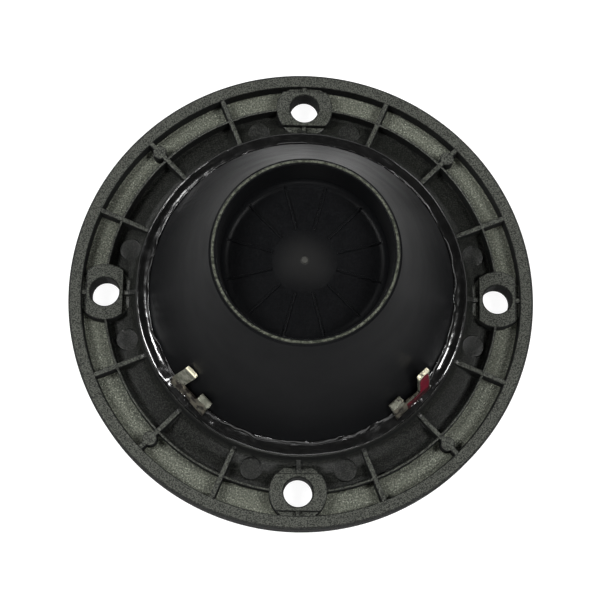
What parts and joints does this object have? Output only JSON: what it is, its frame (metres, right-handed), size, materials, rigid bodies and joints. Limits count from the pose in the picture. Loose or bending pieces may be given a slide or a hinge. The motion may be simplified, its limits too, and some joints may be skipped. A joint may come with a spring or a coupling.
{
  "type": "car tweeter",
  "caption": "Round horn tweeter with a ribbed screw-down flange, a glued truncated-cone rear cup and a pair of tab terminals.",
  "frame": {"origin": "centre of the front face, which the part stands on", "axes": "+Z along the horn's axis towards the rear cup, +Y through the screw hole opposite the terminals' side"},
  "size_m": [0.096, 0.096, 0.0457],
  "materials": {
    "flange_plastic": "fine moulded grain",
    "cup_plastic": "satin",
    "plug_plastic": "satin",
    "adhesive": "glossy",
    "tinned_brass": "tinned, slightly dull",
    "red_paint": "brushed-on paint",
    "felt": "felt",
    "fibre": "loose fibre",
    "foam": "open-cell foam",
    "edge_cloth": "coated cloth",
    "card": "pressed board",
    "cone_paper": "pulped paper",
    "epoxy": "set epoxy",
    "piezo_ceramic": "silvered ceramic",
    "shim_brass": "rolled",
    "solder": "bright solder",
    "lead_red": "insulation",
    "lead_black": "insulation"
  },
  "bodies": {
    "housing": {"horn_frame": "flange_plastic", "phase_plug": "plug_plastic", "throat_gasket": "felt", "cone_edge": "edge_cloth", "cone_rim_ring": "card", "damping_pad": "foam", "damping_ring": "fibre", "lead_positive": "lead_red", "lead_negative": "lead_black", "lead_joints": "solder", "rear_cup": "cup_plastic", "adhesive_bead": "adhesive", "terminal_positive": "tinned_brass", "terminal_negative": "tinned_brass", "polarity_mark": "red_paint"},
    "diaphragm": {"cone_diaphragm": "cone_paper", "apex_coupler": "epoxy", "piezo_wafer_front": "piezo_ceramic", "piezo_shim": "shim_brass", "piezo_wafer_rear": "piezo_ceramic", "piezo_solder_dots": "solder"}
  },
  "joints": [
    {"name": "diaphragm_travel", "type": "slide", "parent": "housing", "child": "diaphragm", "axis": [0, 0, 1], "range_m": [-0.0002, 0.0002], "stiffness_N_per_m": 600}
  ]
}
